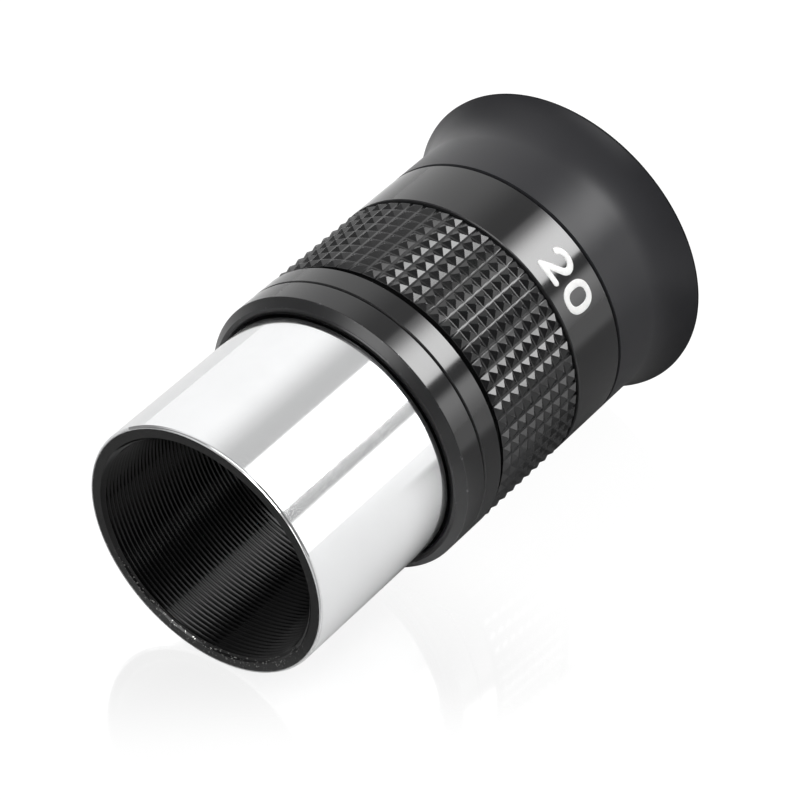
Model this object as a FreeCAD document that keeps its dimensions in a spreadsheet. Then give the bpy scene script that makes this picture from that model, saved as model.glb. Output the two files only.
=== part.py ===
import FreeCAD, Part
import math
import os
import Sketcher

# A 1.25 inch, 20 mm wide-angle telescope eyepiece.
# Frame: the optical axis is +Y. The origin is the centre of the barrel's mouth, where light comes in,
# and the eyecup is at the +Y end. +Z is up. Lengths are in millimetres.
# A "station" is a distance along +Y from the mouth.

SIZES = {
    # nosepiece
    "sleeve_radius": 15.875,
    "sleeve_inner_radius": 15.475,
    "sleeve_end": 22.8,
    "sleeve_edge": 0.3,
    "tube_radius": 15.45,
    "tube_end": 30.0,
    "filter_thread_radius": 14.25,
    "filter_thread_length": 5.0,
    "tube_bore_radius": 13.9,
    "ridge_depth": 0.35,
    "ridge_width": 0.45,
    "ridge_start": 5.6,
    "ridge_run": 13.2,
    # field stop and glare baffle
    "stop_radius": 12.2,
    "stop_flare": 0.9,
    "stop_station": 21.0,
    "stop_front": 20.2,
    "stop_back": 22.0,
    "inner_ring_radius": 13.87,
    "baffle_radius": 12.9,
    "baffle_front": 26.4,
    "baffle_back": 27.2,
    "slot_width": 1.4,
    "slot_depth": 0.6,
    "slot_overrun": 0.5,
    # shoulder ring and housing
    "body_radius": 17.75,
    "socket_radius": 15.5,
    "shoulder_start": 22.9,
    "shoulder_bevel": 0.9,
    "seam_station": 27.0,
    "seam_bevel": 0.15,
    "flange_end": 30.15,
    "socket_end": 30.1,
    "lens_seat_radius": 12.6,
    "lens_seat_end": 31.0,
    "lens_bore_radius": 13.3,
    "grip_seat_radius": 16.3,
    "grip_seat_end": 45.22,
    "ring_seat_radius": 15.9,
    "housing_end": 52.3,
    # rubber grip
    "grip_bore_radius": 16.33,
    "grip_start": 30.95,
    "grip_end": 45.2,
    "grip_radius": 17.8,
    "grip_groove_depth": 0.5,
    "grip_groove_width": 1.3,
    "grip_first_groove": 31.8,
    "grip_groove_run": 12.55,
    # marked ring and its number
    "ring_bore_radius": 15.93,
    "ring_start": 45.25,
    "ring_end": 53.2,
    "ring_step_radius": 16.65,
    "ring_step_station": 52.33,
    "ring_bevel": 0.2,
    "mark_station": 49.12,
    "mark_height": 4.45,
    "mark_width": 3.7,
    "mark_stroke": 0.82,
    "mark_paint": 0.04,
    "mark_spacing": 4.32,
    "mark_angle": 50.65,
    # eye lens cell
    "cell_skirt_radius": 13.25,
    "cell_start": 48.6,
    "cell_flange_radius": 16.6,
    "cell_flange_start": 52.35,
    "cell_flange_end": 53.2,
    "cell_end": 59.2,
    "cell_bore_radius": 11.85,
    "cell_seat_radius": 11.2,
    "cell_seat_station": 50.5,
    "cell_dish_radius": 14.2,
    "cell_dish_station": 57.9,
    "bead_groove_radius": 15.5,
    "bead_groove_start": 56.1,
    "bead_groove_end": 57.3,
    # eyecup
    "cup_bore_radius": 15.93,
    "cup_start": 53.4,
    "cup_bead_radius": 15.55,
    "cup_bead_start": 56.2,
    "cup_bead_end": 57.2,
    "cup_lip_radius": 15.2,
    "cup_lip_start": 59.25,
    "cup_lip_end": 60.0,
    "cup_throat_radius": 16.35,
    "cup_flare_start": 60.0,
    "cup_flare_curve": 9.9,
    "cup_inner_curve": 10.5,
    "cup_rim_radius": 20.0,
    "cup_rim_thickness": 1.0,
    "overall_length": 66.8,
    "cup_rim_lip": 0.35,
    # lenses: radii of curvature, edge radii, stations of the surfaces on the axis
    "wide_lens_radius": 13.25,
    "eye_lens_radius": 11.8,
    "field_front_curve": 70.0,
    "field_bond_curve": 25.8,
    "field_back_curve": 28.2,
    "middle_curve": 53.0,
    "eye_front_curve": 28.2,
    "eye_bond_curve": 28.2,
    "eye_back_curve": 200.0,
    "field_front_station": 32.3,
    "field_bond_station": 33.8,
    "field_back_station": 42.8,
    "middle_front_station": 43.2,
    "middle_back_station": 47.8,
    "eye_front_station": 48.2,
    "eye_bond_station": 54.7,
    "eye_back_station": 56.2,
    # spacers and retainer
    "spacer_bore_radius": 12.4,
    "lower_spacer_start": 39.95,
    "lower_spacer_end": 44.64,
    "upper_spacer_start": 46.35,
    "upper_spacer_end": 48.55,
    "retainer_radius": 11.82,
    "retainer_bore_radius": 10.9,
    "retainer_start": 56.6,
    "retainer_end": 57.8,
    # grub screws
    "screw_radius": 0.97,
    "screw_hole_radius": 1.0,
    "screw_start": 13.35,
    "screw_end": 15.8,
    "screw_station": 50.2,
    "screw_socket_radius": 0.5,
    "screw_socket_depth": 1.0,
}
GRIP_ROWS = 9
RIDGE_COUNT = 23
SCREW_COUNT = 3
SLOT_COUNT = 2

doc = FreeCAD.newDocument("telescope_eyepiece")
sheet = doc.addObject("Spreadsheet::Sheet", "Sizes")
for row, (alias, size) in enumerate(SIZES.items(), start=1):
    sheet.set(f"A{row}", alias)
    sheet.set(f"B{row}", str(size))
    sheet.setAlias(f"B{row}", alias)
doc.recompute()


def size_of(terms):
    """The value of words such as "sleeve_radius - sleeve_edge"."""
    total = 0.0
    sign = 1
    for word in terms.split():
        if word in "+-":
            sign = 1 if word == "+" else -1
        else:
            total += sign * sheet.get(word)
            sign = 1
    return total


def bound(terms):
    """The same words as an expression that reads the sheet."""
    return " ".join(word if word in "+-" else "Sizes." + word for word in terms.split())


def origin_feature(body, role):
    return next(item for item in body.Origin.OriginFeatures if item.Role == role)


def new_body(label):
    body = doc.addObject("PartDesign::Body", label)
    body.Label = label
    return body


def new_sketch(body, name):
    sketch = body.newObject("Sketcher::SketchObject", name)
    sketch.AttachmentSupport = (origin_feature(body, "XY_Plane"), [""])
    sketch.MapMode = "FlatFace"
    return sketch


def pin_length(sketch, kind, geometry, vertex, terms):
    """Holds a sketch point at a bound distance from the sketch's origin."""
    value = size_of(terms)
    index = sketch.addConstraint(Sketcher.Constraint(kind, -1, 1, geometry, vertex, value))
    sketch.setExpression(f"Constraints[{index}]", bound(terms))


def pin_radius(sketch, geometry, terms):
    value = size_of(terms)
    index = sketch.addConstraint(Sketcher.Constraint("Radius", geometry, value))
    sketch.setExpression(f"Constraints[{index}]", bound(terms))


def arc_between(start, end, radius, bulge):
    """An arc from start to end. bulge is 1 where it bows to the left of the way from start to end, or -1."""
    chord = end - start
    middle = (start + end) * 0.5
    left = FreeCAD.Vector(-chord.y, chord.x, 0).normalize()
    rise = radius - math.sqrt(radius**2 - (chord.Length / 2) ** 2)
    return Part.Arc(start, middle + left * (bulge * rise), end)


def draw_outline(sketch, outline):
    """Draws a closed outline. Each entry is (radius words, station words), and where the side that leaves
    the point is an arc, also (curve words, bulge)."""
    points = [FreeCAD.Vector(size_of(entry[0]), size_of(entry[1]), 0) for entry in outline]
    ends = []
    for number, entry in enumerate(outline):
        start = points[number]
        end = points[(number + 1) % len(points)]
        if len(entry) == 2:
            side = Part.LineSegment(start, end)
        else:
            side = arc_between(start, end, size_of(entry[2]), entry[3])
        index = sketch.addGeometry(side)
        flipped = sketch.getPoint(index, 1).distanceToPoint(start) > 1e-6
        ends.append((index, 2, 1) if flipped else (index, 1, 2))
    for number, (index, first, last) in enumerate(ends):
        following, following_first, _ = ends[(number + 1) % len(ends)]
        sketch.addConstraint(Sketcher.Constraint("Coincident", index, last, following, following_first))
    for (index, first, last), entry in zip(ends, outline):
        pin_length(sketch, "DistanceX", index, first, entry[0])
        pin_length(sketch, "DistanceY", index, first, entry[1])
        if len(entry) == 4:
            pin_radius(sketch, index, entry[2])


def revolve(body, sketch, kind, name):
    feature = body.newObject(kind, name)
    feature.Profile = sketch
    feature.ReferenceAxis = (sketch, ["V_Axis"])
    feature.Angle = 360
    sketch.Visibility = False
    return feature


def turned(label, outline):
    """A part turned about the optical axis."""
    body = new_body(label)
    sketch = new_sketch(body, label + "_outline")
    draw_outline(sketch, outline)
    revolve(body, sketch, "PartDesign::Revolution", label + "_turning")
    doc.recompute()
    return body


def ring_of_grooves(body, label, outline, run, count):
    """Cuts one groove round the axis and repeats it along the axis."""
    volume = body.Shape.Volume
    sketch = new_sketch(body, label + "_outline")
    draw_outline(sketch, outline)
    groove = revolve(body, sketch, "PartDesign::Groove", label)
    doc.recompute()
    pattern = body.newObject("PartDesign::LinearPattern", label + "_rows")
    pattern.Originals = [groove]
    pattern.Direction = (sketch, ["V_Axis"])
    pattern.setExpression("Length", bound(run))
    pattern.Occurrences = count
    body.Tip = pattern
    doc.recompute()
    assert body.Shape.Volume < volume, label + " cut nothing"


def spread_round_axis(body, feature, count, name):
    pattern = body.newObject("PartDesign::PolarPattern", name)
    pattern.Originals = [feature]
    pattern.Axis = (origin_feature(body, "Y_Axis"), [""])
    pattern.Angle = 360
    pattern.Occurrences = count
    body.Tip = pattern
    doc.recompute()


def spanner_slots(body, label, bore, rim, face):
    """Cuts two slots for a pin spanner across a ring's end face, from inside its bore to outside its rim."""
    volume = body.Shape.Volume
    inside = bore + " - slot_overrun"
    outside = rim + " + slot_overrun"
    floor = face + " - slot_depth"
    sketch = new_sketch(body, label + "_outline")
    draw_outline(sketch, [(inside, floor), (outside, floor), (outside, face), (inside, face)])
    slot = body.newObject("PartDesign::Pocket", label)
    slot.Profile = sketch
    slot.Midplane = True
    slot.setExpression("Length", "Sizes.slot_width")
    doc.recompute()
    spread_round_axis(body, slot, SLOT_COUNT, label + "_pair")
    assert body.Shape.Volume < volume, label + " cut nothing"


def lens(label, edge, front, back):
    """A lens element. front and back are (station on the axis, radius of curvature, side), where side is 1
    if the centre of curvature lies towards the eye and -1 if it lies towards the mouth."""
    body = new_body(label)
    sketch = new_sketch(body, label + "_outline")
    rim = size_of(edge)
    corners = []
    arcs = []
    for station, curve, side in (front, back):
        vertex = FreeCAD.Vector(0, size_of(station), 0)
        radius = size_of(curve)
        sag = radius - math.sqrt(radius**2 - rim**2)
        corner = FreeCAD.Vector(rim, vertex.y + side * sag, 0)
        half = rim / 2
        half_sag = radius - math.sqrt(radius**2 - half**2)
        index = sketch.addGeometry(
            Part.Arc(vertex, FreeCAD.Vector(half, vertex.y + side * half_sag, 0), corner)
        )
        flipped = sketch.getPoint(index, 1).distanceToPoint(vertex) > 1e-6
        arcs.append((index, 2, 1) if flipped else (index, 1, 2))
        corners.append(corner)
    edge_line = sketch.addGeometry(Part.LineSegment(corners[0], corners[1]))
    axis_line = sketch.addGeometry(
        Part.LineSegment(
            FreeCAD.Vector(0, size_of(back[0]), 0), FreeCAD.Vector(0, size_of(front[0]), 0)
        )
    )
    (front_arc, front_vertex, front_corner), (back_arc, back_vertex, back_corner) = arcs
    for first, first_end, second, second_end in (
        (front_arc, front_corner, edge_line, 1),
        (edge_line, 2, back_arc, back_corner),
        (back_arc, back_vertex, axis_line, 1),
        (axis_line, 2, front_arc, front_vertex),
    ):
        sketch.addConstraint(Sketcher.Constraint("Coincident", first, first_end, second, second_end))
    for (index, vertex_end, corner_end), (station, curve, _) in zip(arcs, (front, back)):
        sketch.addConstraint(Sketcher.Constraint("PointOnObject", index, vertex_end, -2))
        sketch.addConstraint(Sketcher.Constraint("PointOnObject", index, 3, -2))
        pin_length(sketch, "DistanceX", index, corner_end, edge)
        pin_length(sketch, "DistanceY", index, vertex_end, station)
        pin_radius(sketch, index, curve)
    revolve(body, sketch, "PartDesign::Revolution", label + "_grinding")
    doc.recompute()
    return body


def chrome_sleeve():
    """The bright 31.75 mm sleeve that slides into a telescope's focuser."""
    return turned(
        "chrome_sleeve",
        [
            ("sleeve_inner_radius", "sleeve_end"),
            ("sleeve_inner_radius", "tube_end - tube_end"),
            ("sleeve_radius - sleeve_edge", "tube_end - tube_end"),
            ("sleeve_radius", "sleeve_edge"),
            ("sleeve_radius", "sleeve_end"),
        ],
    )


def nosepiece_tube():
    """The black tube inside the sleeve. It has the filter thread at the mouth and light-trapping ridges."""
    mouth = "tube_end - tube_end"
    body = turned(
        "nosepiece_tube",
        [
            ("filter_thread_radius", mouth),
            ("tube_radius", mouth),
            ("tube_radius", "tube_end"),
            ("tube_bore_radius", "tube_end"),
            ("tube_bore_radius", "filter_thread_length"),
            ("filter_thread_radius", "filter_thread_length"),
        ],
    )
    ring_of_grooves(
        body,
        "light_trap",
        [
            ("tube_bore_radius", "ridge_start"),
            ("tube_bore_radius + ridge_depth", "ridge_start"),
            ("tube_bore_radius", "ridge_start + ridge_width"),
        ],
        "ridge_run",
        RIDGE_COUNT,
    )
    return body


def field_stop():
    """The ring with the sharp edge that frames the view. It sits where the eyepiece comes to focus."""
    body = turned(
        "field_stop",
        [
            ("stop_radius", "stop_station"),
            ("stop_radius + stop_flare", "stop_front"),
            ("inner_ring_radius", "stop_front"),
            ("inner_ring_radius", "stop_back"),
            ("stop_radius + stop_flare", "stop_back"),
        ],
    )
    spanner_slots(body, "stop_slot", "stop_radius", "inner_ring_radius", "stop_front + slot_depth")
    return body


def baffle_ring():
    """A thin ring between the field stop and the field lens that catches glare off the wall."""
    return turned(
        "baffle_ring",
        [
            ("baffle_radius", "baffle_front"),
            ("inner_ring_radius", "baffle_front"),
            ("inner_ring_radius", "baffle_back"),
            ("baffle_radius", "baffle_back"),
        ],
    )


def shoulder_ring():
    """The bevelled black collar that the focuser's mouth stops against."""
    return turned(
        "shoulder_ring",
        [
            ("socket_radius", "shoulder_start"),
            ("body_radius - shoulder_bevel", "shoulder_start"),
            ("body_radius", "shoulder_start + shoulder_bevel"),
            ("body_radius", "seam_station - seam_bevel"),
            ("body_radius - seam_bevel", "seam_station"),
            ("socket_radius", "seam_station"),
        ],
    )


def main_housing():
    """The tube that carries the grip, the marked ring and the lenses."""
    body = turned(
        "main_housing",
        [
            ("socket_radius", "seam_station"),
            ("body_radius - seam_bevel", "seam_station"),
            ("body_radius", "seam_station + seam_bevel"),
            ("body_radius", "flange_end"),
            ("grip_seat_radius", "flange_end"),
            ("grip_seat_radius", "grip_seat_end"),
            ("ring_seat_radius", "grip_seat_end"),
            ("ring_seat_radius", "housing_end"),
            ("lens_bore_radius", "housing_end"),
            ("lens_bore_radius", "lens_seat_end"),
            ("lens_seat_radius", "lens_seat_end"),
            ("lens_seat_radius", "socket_end"),
            ("socket_radius", "socket_end"),
        ],
    )
    volume = body.Shape.Volume
    sketch = new_sketch(body, "screw_hole_outline")
    index = sketch.addGeometry(
        Part.Circle(
            FreeCAD.Vector(0, size_of("screw_station"), 0),
            FreeCAD.Vector(0, 0, 1),
            size_of("screw_hole_radius"),
        )
    )
    sketch.addConstraint(Sketcher.Constraint("PointOnObject", index, 3, -2))
    pin_length(sketch, "DistanceY", index, 3, "screw_station")
    pin_radius(sketch, index, "screw_hole_radius")
    hole = body.newObject("PartDesign::Pocket", "screw_hole")
    hole.Profile = sketch
    hole.setExpression("Length", "Sizes.body_radius")
    hole.Reversed = True
    doc.recompute()
    spread_round_axis(body, hole, SCREW_COUNT, "screw_holes")
    assert body.Shape.Volume < volume, "the screw holes cut nothing"
    return body


def grip_sleeve():
    """The rubber grip, with rings of V grooves that leave rows of ridges."""
    body = turned(
        "grip_sleeve",
        [
            ("grip_bore_radius", "grip_start"),
            ("grip_radius", "grip_start"),
            ("grip_radius", "grip_end"),
            ("grip_bore_radius", "grip_end"),
        ],
    )
    ring_of_grooves(
        body,
        "grip_groove",
        [
            ("grip_radius", "grip_first_groove - grip_groove_width"),
            ("grip_radius - grip_groove_depth", "grip_first_groove"),
            ("grip_radius", "grip_first_groove + grip_groove_width"),
        ],
        "grip_groove_run",
        GRIP_ROWS,
    )
    return body


def marked_ring():
    """The ring that shows the focal length."""
    return turned(
        "marked_ring",
        [
            ("ring_bore_radius", "ring_start"),
            ("body_radius - ring_bevel", "ring_start"),
            ("body_radius", "ring_start + ring_bevel"),
            ("body_radius", "ring_end - ring_bevel"),
            ("body_radius - ring_bevel", "ring_end"),
            ("ring_step_radius", "ring_end"),
            ("ring_step_radius", "ring_step_station"),
            ("ring_bore_radius", "ring_step_station"),
        ],
    )


def eye_lens_cell():
    """The cell that holds the two eye lenses. It screws into the housing, and the eyecup fits its neck."""
    return turned(
        "eye_lens_cell",
        [
            ("cell_seat_radius", "cell_start"),
            ("cell_skirt_radius", "cell_start"),
            ("cell_skirt_radius", "cell_flange_start"),
            ("cell_flange_radius", "cell_flange_start"),
            ("cell_flange_radius", "cell_flange_end"),
            ("ring_seat_radius", "cell_flange_end"),
            ("ring_seat_radius", "bead_groove_start"),
            ("bead_groove_radius", "bead_groove_start"),
            ("bead_groove_radius", "bead_groove_end"),
            ("ring_seat_radius", "bead_groove_end"),
            ("ring_seat_radius", "cell_end"),
            ("cell_dish_radius", "cell_end"),
            ("cell_bore_radius", "cell_dish_station"),
            ("cell_bore_radius", "cell_seat_station"),
            ("cell_seat_radius", "cell_seat_station"),
        ],
    )


def eyecup():
    """The rubber eyecup: a sleeve with a bead that snaps over the cell's neck, and a flared skirt."""
    return turned(
        "eyecup",
        [
            ("cup_bore_radius", "cup_start"),
            ("body_radius", "cup_start"),
            ("body_radius", "cup_flare_start", "cup_flare_curve", 1),
            ("cup_rim_radius", "overall_length - cup_rim_lip"),
            ("cup_rim_radius - cup_rim_lip", "overall_length"),
            ("cup_rim_radius - cup_rim_thickness", "overall_length - cup_rim_lip", "cup_inner_curve", -1),
            ("cup_throat_radius", "cup_lip_end + cup_rim_lip"),
            ("cup_lip_radius", "cup_lip_end"),
            ("cup_lip_radius", "cup_lip_start"),
            ("cup_bore_radius", "cup_lip_start"),
            ("cup_bore_radius", "cup_bead_end"),
            ("cup_bead_radius", "cup_bead_end"),
            ("cup_bead_radius", "cup_bead_start"),
            ("cup_bore_radius", "cup_bead_start"),
        ],
    )


def spacer(label, start, end):
    """A thin black tube that holds two lenses apart."""
    return turned(
        label,
        [
            ("spacer_bore_radius", start),
            ("wide_lens_radius", start),
            ("wide_lens_radius", end),
            ("spacer_bore_radius", end),
        ],
    )


def eye_lens_retainer():
    """The threaded ring that holds the eye lenses down, with two slots for a pin spanner."""
    body = turned(
        "eye_lens_retainer",
        [
            ("retainer_bore_radius", "retainer_start"),
            ("retainer_radius", "retainer_start"),
            ("retainer_radius", "retainer_end"),
            ("retainer_bore_radius", "retainer_end"),
        ],
    )
    spanner_slots(body, "retainer_slot", "retainer_bore_radius", "retainer_radius", "retainer_end")
    return body


def lock_screws():
    """Three grub screws that lock the cell's thread, hidden under the marked ring."""
    screws = []
    for number in range(SCREW_COUNT):
        shank = doc.addObject("Part::Cylinder", f"screw_shank_{number}")
        shank.setExpression("Radius", "Sizes.screw_radius")
        shank.setExpression("Height", "Sizes.screw_end - Sizes.screw_start")
        socket = doc.addObject("Part::Prism", f"screw_socket_{number}")
        socket.Polygon = 6
        socket.setExpression("Circumradius", "Sizes.screw_socket_radius")
        socket.setExpression("Height", "Sizes.screw_socket_depth")
        turn = FreeCAD.Rotation(FreeCAD.Vector(0, 1, 0), 360 * number / SCREW_COUNT)
        station = FreeCAD.Vector(0, size_of("screw_station"), 0)
        outwards = turn.multVec(FreeCAD.Vector(0, 0, 1))
        shank.Placement = FreeCAD.Placement(station + outwards * size_of("screw_start"), turn)
        socket.Placement = FreeCAD.Placement(
            station + outwards * size_of("screw_end - screw_socket_depth"), turn
        )
        screw = doc.addObject("Part::Cut", f"screw_{number}")
        screw.Base = shank
        screw.Tool = socket
        screws.append(screw)
    group = doc.addObject("Part::Compound", "lock_screws")
    group.Links = screws
    doc.recompute()
    return group


def pen_line(wire, width, depth):
    """Everything within half a width of a flat line, raised by depth."""
    pieces = []
    up = FreeCAD.Vector(0, 0, 1)
    for vertex in wire.Vertexes:
        pieces.append(Part.makeCylinder(width / 2, depth, vertex.Point, up))
    for edge in wire.Edges:
        first = edge.firstVertex().Point
        last = edge.lastVertex().Point
        if isinstance(edge.Curve, Part.Circle):
            pieces.append(arc_stroke(edge, width, depth))
        else:
            along = last - first
            side = FreeCAD.Vector(-along.y, along.x, 0).normalize() * (width / 2)
            corners = [first + side, last + side, last - side, first - side, first + side]
            pieces.append(Part.Face(Part.makePolygon(corners)).extrude(up * depth))
    return pieces[0].fuse(pieces[1:]).removeSplitter()


def arc_stroke(edge, width, depth):
    """A stroke along a circular arc."""
    curve = edge.Curve
    sides = []
    for radius in (curve.Radius - width / 2, curve.Radius + width / 2):
        circle = Part.Circle(curve.Center, curve.Axis, radius)
        circle.XAxis = curve.XAxis
        sides.append(circle.toShape(edge.FirstParameter, edge.LastParameter))
    inner, outer = sides
    caps = [
        Part.LineSegment(inner.firstVertex().Point, outer.firstVertex().Point).toShape(),
        Part.LineSegment(inner.lastVertex().Point, outer.lastVertex().Point).toShape(),
    ]
    outline = Part.Wire(Part.__sortEdges__([inner, outer] + caps))
    return Part.Face(outline).extrude(FreeCAD.Vector(0, 0, depth))


def digit_two(width, height, pen, depth):
    """A 2 centred on the origin: an arch, a slanting stem and a foot."""
    right = (width - pen) / 2
    top = (height - pen) / 2
    arch_centre = FreeCAD.Vector(0, top - right, 0)
    arch_start = arch_centre + FreeCAD.Vector(-right, 0, 0)
    arch_turn = math.radians(-35)
    arch_end = arch_centre + FreeCAD.Vector(math.cos(arch_turn), math.sin(arch_turn), 0) * right
    arch = Part.Arc(arch_start, arch_centre + FreeCAD.Vector(0, right, 0), arch_end).toShape()
    stem = Part.LineSegment(arch_end, FreeCAD.Vector(-right, -top, 0)).toShape()
    foot = Part.LineSegment(
        FreeCAD.Vector(-right, -top, 0), FreeCAD.Vector(right, -top, 0)
    ).toShape()
    return pen_line(Part.Wire([arch, stem, foot]), pen, depth)


def digit_zero(width, height, pen, depth):
    """A 0 centred on the origin: two half rounds joined by straight sides."""
    right = (width - pen) / 2
    side = (height - pen) / 2 - right
    upper = FreeCAD.Vector(0, side, 0)
    lower = FreeCAD.Vector(0, -side, 0)
    across = FreeCAD.Vector(right, 0, 0)
    rise = FreeCAD.Vector(0, right, 0)
    edges = [
        Part.Arc(upper + across, upper + rise, upper - across).toShape(),
        Part.LineSegment(upper - across, lower - across).toShape(),
        Part.Arc(lower - across, lower - rise, lower + across).toShape(),
        Part.LineSegment(lower + across, upper + across).toShape(),
    ]
    return pen_line(Part.Wire(edges), pen, depth)


def focal_length_mark():
    """The number 20 in a thin layer of white paint on the marked ring."""
    radius = size_of("body_radius")
    reach = radius + 2
    up = FreeCAD.Vector(0, 1, 0)
    layer = Part.makeCylinder(radius + size_of("mark_paint"), size_of("ring_end"), FreeCAD.Vector(), up)
    layer = layer.cut(Part.makeCylinder(radius, size_of("ring_end"), FreeCAD.Vector(), up))
    middle = size_of("mark_angle")
    half_step = math.degrees(size_of("mark_spacing") / radius) / 2
    digits = []
    for make_digit, angle in ((digit_two, middle - half_step), (digit_zero, middle + half_step)):
        digit = make_digit(size_of("mark_width"), size_of("mark_height"), size_of("mark_stroke"), reach)
        turn = FreeCAD.Rotation(FreeCAD.Vector(0, 1, 0), angle)
        digit.Placement = FreeCAD.Placement(FreeCAD.Vector(0, size_of("mark_station"), 0), turn)
        digits.append(digit.common(layer))
    mark = doc.addObject("Part::Feature", "focal_length_mark")
    mark.Shape = Part.makeCompound([solid for digit in digits for solid in digit.Solids])
    mark.Placement = FreeCAD.Placement()
    return mark


def lenses():
    """Five elements in three groups: a cemented pair, a single lens and a cemented pair."""
    mouthward = -1
    eyeward = 1
    field_bond = ("field_bond_station", "field_bond_curve", eyeward)
    eye_bond = ("eye_bond_station", "eye_bond_curve", mouthward)
    return [
        lens(
            "field_lens_flint",
            "wide_lens_radius",
            ("field_front_station", "field_front_curve", mouthward),
            field_bond,
        ),
        lens(
            "field_lens_crown",
            "wide_lens_radius",
            field_bond,
            ("field_back_station", "field_back_curve", mouthward),
        ),
        lens(
            "middle_lens",
            "wide_lens_radius",
            ("middle_front_station", "middle_curve", eyeward),
            ("middle_back_station", "middle_curve", mouthward),
        ),
        lens(
            "eye_lens_crown",
            "eye_lens_radius",
            ("eye_front_station", "eye_front_curve", eyeward),
            eye_bond,
        ),
        lens(
            "eye_lens_flint",
            "eye_lens_radius",
            eye_bond,
            ("eye_back_station", "eye_back_curve", eyeward),
        ),
    ]


pieces = [
    chrome_sleeve(),
    nosepiece_tube(),
    field_stop(),
    baffle_ring(),
    shoulder_ring(),
    main_housing(),
    grip_sleeve(),
    marked_ring(),
    focal_length_mark(),
    eye_lens_cell(),
    eyecup(),
    spacer("lower_spacer", "lower_spacer_start", "lower_spacer_end"),
    spacer("upper_spacer", "upper_spacer_start", "upper_spacer_end"),
    eye_lens_retainer(),
    lock_screws(),
] + lenses()

doc.recompute()
for item in doc.Objects:
    assert not {"Invalid", "Error"} & set(item.State), f"{item.Label} failed: {item.State}"
for piece in pieces:
    assert not piece.Shape.isNull(), f"{piece.Label} is empty"
    assert piece.Shape.isValid(), f"{piece.Label} is not valid"

os.makedirs("parts", exist_ok=True)
for piece in pieces:
    piece.Shape.exportStep(f"parts/{piece.Label}.step")
    box = piece.Shape.optimalBoundingBox()
    print(f"{piece.Label}: {len(piece.Shape.Solids)} solids, {piece.Shape.Volume:.1f} mm3, "
          f"Y {box.YMin:.2f} to {box.YMax:.2f}, radius {box.XMax:.3f}")
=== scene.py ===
import math

import bmesh
import bpy
from mathutils import Matrix, Vector


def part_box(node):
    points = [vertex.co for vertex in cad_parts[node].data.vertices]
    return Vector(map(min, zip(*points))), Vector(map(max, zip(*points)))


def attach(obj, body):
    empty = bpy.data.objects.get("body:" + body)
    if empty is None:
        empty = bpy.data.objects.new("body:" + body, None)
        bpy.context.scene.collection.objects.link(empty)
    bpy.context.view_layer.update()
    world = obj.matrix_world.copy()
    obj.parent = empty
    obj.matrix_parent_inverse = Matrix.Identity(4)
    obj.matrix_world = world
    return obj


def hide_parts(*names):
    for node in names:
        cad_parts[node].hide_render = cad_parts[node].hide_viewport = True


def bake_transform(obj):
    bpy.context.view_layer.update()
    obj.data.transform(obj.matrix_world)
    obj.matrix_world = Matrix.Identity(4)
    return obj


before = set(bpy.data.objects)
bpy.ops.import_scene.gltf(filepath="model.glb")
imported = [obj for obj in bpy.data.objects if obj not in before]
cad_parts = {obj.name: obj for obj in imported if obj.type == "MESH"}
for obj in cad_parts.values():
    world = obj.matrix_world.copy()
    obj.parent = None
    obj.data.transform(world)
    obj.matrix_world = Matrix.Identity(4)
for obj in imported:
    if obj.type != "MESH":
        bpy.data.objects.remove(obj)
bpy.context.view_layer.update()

# A 1.25 inch telescope eyepiece lying on its side on a pale table.
# The optical axis is +Y, with the barrel's mouth at the origin. A station is a distance along the axis from
# the mouth, and an angle round the axis is measured from +Z towards +X. Sizes below are in millimetres and
# are turned into metres as each mesh is made.

MM = 0.001
TURNS = 256
BODY = "eyepiece_body"


def span(node):
    """(first station, last station, outer radius) of a CAD node."""
    low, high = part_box(node)
    return low.y / MM, high.y / MM, max(high.x, high.z) / MM


# ---------------------------------------------------------------- meshes

def place(radius, angle, station):
    """The point at that distance from the axis, that angle and that station."""
    return (radius * math.sin(angle) * MM, station * MM, radius * math.cos(angle) * MM)


def arc_between(start, end, radius, bulge, count):
    """Points strictly between start and end, on an arc that bows to the left of the way (bulge 1) or to its
    right (bulge -1)."""
    first, last = Vector(start), Vector(end)
    chord = last - first
    left = Vector((-chord.y, chord.x)).normalized()
    depth = math.sqrt(radius**2 - (chord.length / 2) ** 2)
    centre = (first + last) / 2 - left * (bulge * depth)
    angle_first = math.atan2(first.y - centre.y, first.x - centre.x)
    angle_last = math.atan2(last.y - centre.y, last.x - centre.x)
    turn = (angle_last - angle_first + math.pi) % (2 * math.pi) - math.pi
    points = []
    for step in range(1, count):
        angle = angle_first + turn * step / count
        points.append((centre.x + radius * math.cos(angle), centre.y + radius * math.sin(angle), 0.0))
    return points


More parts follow.
